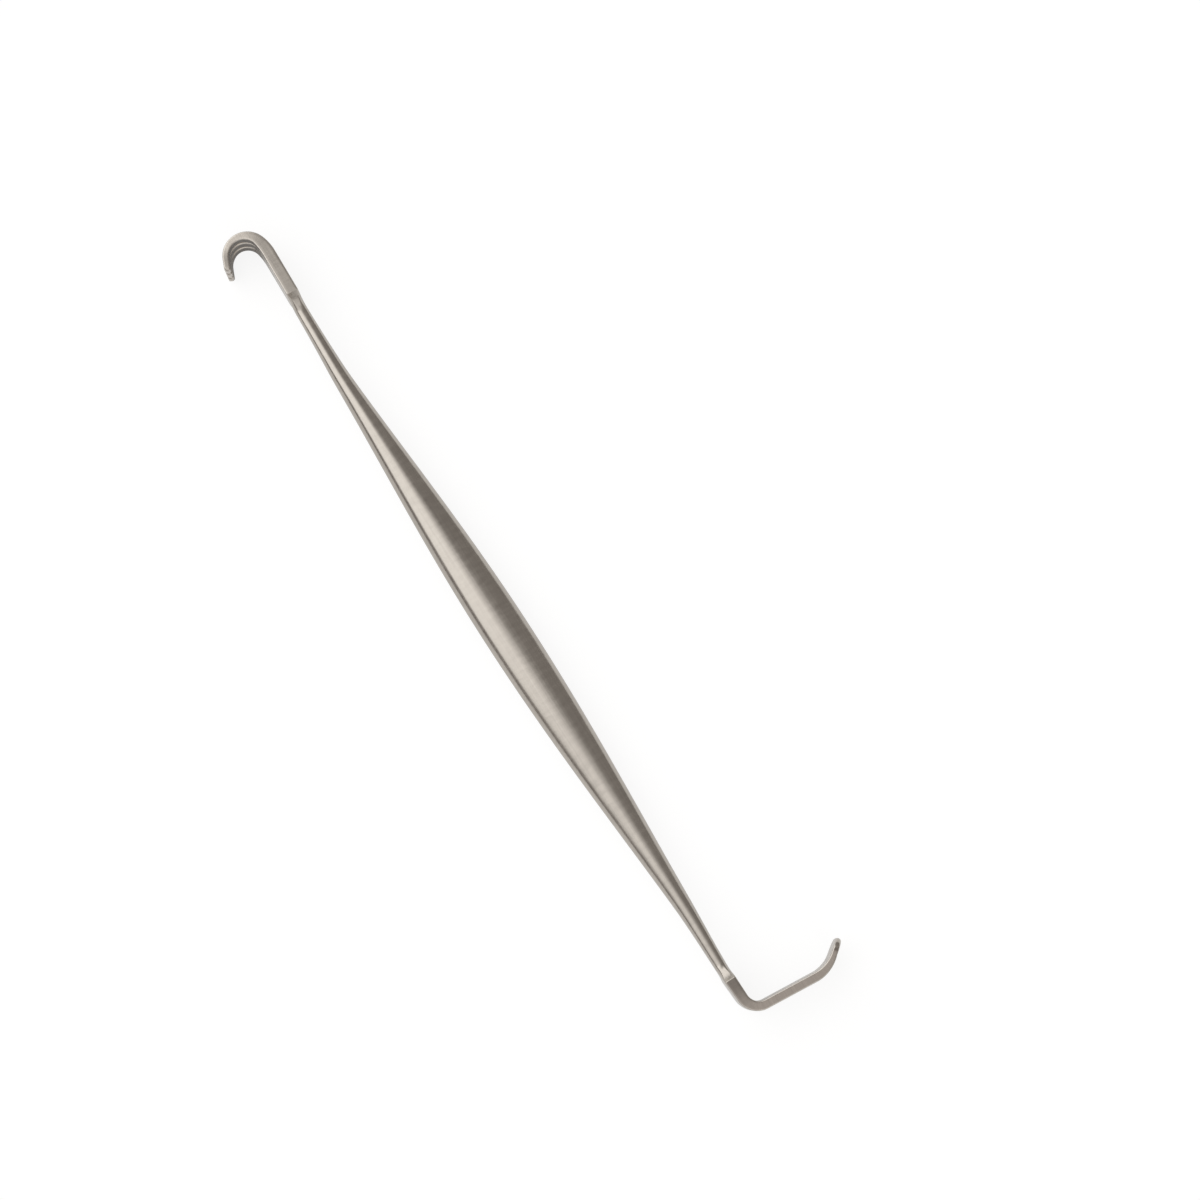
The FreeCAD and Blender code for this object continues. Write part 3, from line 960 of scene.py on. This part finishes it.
# the light: an even dim room with one long soft window along the instrument, to its left and overhead
# angles are in degrees from straight overhead, to the right or towards the blade
# over the blade's half the window is fainter, has a softer left edge and reaches further right
room = {
    "dim": (0.30, 0.28, 0.265, 1),
    "window": (1.455, 1.435, 1.415, 1),
    "left": -66.0,
    "leftSoftness": 2.5,
    "right": -1.0,
    "rightSoftness": 17.0,
    "fadeStart": -9.0,
    "fadeEnd": 2.0,
    "fadedStrength": 0.62,
    "fadedLeft": -54.0,
    "fadedLeftSoftness": 25.0,
    "fadedRight": 9.0,
    "fadedRightSoftness": 28.0,
    "endStart": 18.0,
    "endFull": 40.0,
    "endRight": 35.0,
    "endSoftness": 15.0,
    "farEndStrength": 0.4,
}


def makeWorld():
    world = bpy.data.worlds.new("room")
    bpy.context.scene.world = world
    world.use_nodes = True
    tree = world.node_tree
    background = tree.nodes["Background"]

    # angles from straight overhead towards +Y and towards +X, in degrees
    direction = TreeValue(tree, tree.nodes.new("ShaderNodeTexCoord").outputs["Generated"])
    x, y, height = axisValues(tree, direction)
    across = mathNode(tree, "DEGREES", mathNode(tree, "ARCTAN2", y, height))
    along = mathNode(tree, "DEGREES", mathNode(tree, "ARCTAN2", x, height))

    def softEdge(past, softness):
        return smoothNode(tree, past / (2.0 * softness) + 0.5)

    fade = smoothNode(tree, along, room["fadeStart"], room["fadeEnd"])
    left = mixed(room["left"], room["fadedLeft"], fade)
    right = mixed(room["right"], room["fadedRight"], fade)
    leftSoftness = mixed(room["leftSoftness"], room["fadedLeftSoftness"], fade)
    rightSoftness = mixed(room["rightSoftness"], room["fadedRightSoftness"], fade)
    fromLeft = softEdge(across - left, leftSoftness)
    fromRight = softEdge(right - across, rightSoftness)
    share = fromLeft * fromRight * mixed(1.0, room["fadedStrength"], fade)

    # low over both ends of the instrument the light reaches across, so the flares pick it up
    steep = mathNode(tree, "ABSOLUTE", along)
    low = smoothNode(tree, steep, room["endStart"], room["endFull"])
    acrossEnd = softEdge(room["endRight"] - across, room["endSoftness"])
    endShare = low * acrossEnd * fromLeft * mixed(1.0, room["farEndStrength"], fade)
    share = mathNode(tree, "MAXIMUM", share, endShare)

    # the camera itself sees plain white
    seen = TreeValue(tree, tree.nodes.new("ShaderNodeLightPath").outputs["Is Camera Ray"])
    shown = colourNode(tree, colourNode(tree, room["dim"], room["window"], share), (1, 1, 1, 1), seen)
    tree.links.new(shown.socket, background.inputs["Color"])


table = {
    "size": 3000.0,
    "albedo": (0.2, 0.2, 0.2, 1),
    "albedoInSteel": (0.6, 0.6, 0.6, 1),
    "glow": 0.855,
    "glowInSteel": 0.34,
}


def makeTable():
    low = cadBounds[0]
    half = table["size"] / 2 * mm
    mesh = bpy.data.meshes.new("table")
    corners = [(x, y, low.z) for x, y in ((-half, -half), (half, -half), (half, half), (-half, half))]
    mesh.from_pydata(corners, [], [(0, 1, 2, 3)])
    top = bpy.data.objects.new("table", mesh)
    bpy.context.scene.collection.objects.link(top)
    paint = bpy.data.materials.new("paleTable")
    paint.use_nodes = True
    tree = paint.node_tree
    tree.nodes.remove(tree.nodes["Principled BSDF"])
    matt = tree.nodes.new("ShaderNodeBsdfDiffuse")

    # it looks white to the camera and pale in the steel, and still takes the instrument's shadow
    rays = tree.nodes.new("ShaderNodeLightPath").outputs
    kinds = ("Is Camera Ray", "Is Glossy Ray", "Is Transmission Ray")
    camera, glossy, through = [TreeValue(tree, rays[kind]) for kind in kinds]
    albedo = colourNode(tree, table["albedoInSteel"], table["albedo"], camera)
    tree.links.new(albedo.socket, matt.inputs["Color"])
    strength = camera * table["glow"] + (glossy + through) * table["glowInSteel"]
    glow = tree.nodes.new("ShaderNodeEmission")
    tree.links.new(strength.socket, glow.inputs["Strength"])
    both = tree.nodes.new("ShaderNodeAddShader")
    tree.links.new(matt.outputs[0], both.inputs[0])
    tree.links.new(glow.outputs[0], both.inputs[1])
    tree.links.new(both.outputs[0], tree.nodes["Material Output"].inputs["Surface"])
    mesh.materials.append(paint)
    return top


# the camera, as worked out from the photograph's perspective, in pixels of its 1200 wide frame
# height, middleShift, nearest and sensor are in mm
shot = {
    "frame": 1200,
    "focal": 3177.0,
    "straightBelow": (530.0, 978.0),
    "handleMiddle": (509.4, 637.1),
    "handleDirection": (0.5439, 0.8393),
    "handleReach": 340.0,
    "middleShift": -0.45,
    "height": 539.4,
    "nearest": 10.0,
    "sensor": 36.0,
}


def makeCamera():
    half = shot["frame"] / 2

    def ray(pixel):
        return Vector((pixel[0] - half, half - pixel[1], -shot["focal"]))

    down = ray(shot["straightBelow"]).normalized()

    def onMiddlePlane(reach):
        pixel = [place + reach * step for place, step in zip(shot["handleMiddle"], shot["handleDirection"])]
        sight = ray(pixel)
        return sight * (shot["height"] * mm / sight.dot(down))

    alongX = (onMiddlePlane(shot["handleReach"]) - onMiddlePlane(-shot["handleReach"])).normalized()
    up = -down
    origin = onMiddlePlane(0) + alongX * (shot["middleShift"] * mm)
    turn = Matrix((alongX, up.cross(alongX), up)).transposed().to_4x4()
    camera = bpy.data.objects.new("camera", bpy.data.cameras.new("camera"))
    bpy.context.scene.collection.objects.link(camera)
    camera.matrix_world = (Matrix.Translation(origin) @ turn).inverted()
    camera.data.sensor_width = shot["sensor"]
    camera.data.lens = shot["sensor"] * shot["focal"] / shot["frame"]
    camera.data.clip_start = shot["nearest"] * mm
    bpy.context.scene.camera = camera


steel = makeSteel()
print("satin steel made")
body = makeRetractor(steel)
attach(body, "root")
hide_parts("retractor")
print("retractor: one skin over its CAD solid")

makeTable()
makeWorld()
makeCamera()
bpy.context.scene.view_settings.view_transform = "Standard"
print("table, light and camera set")
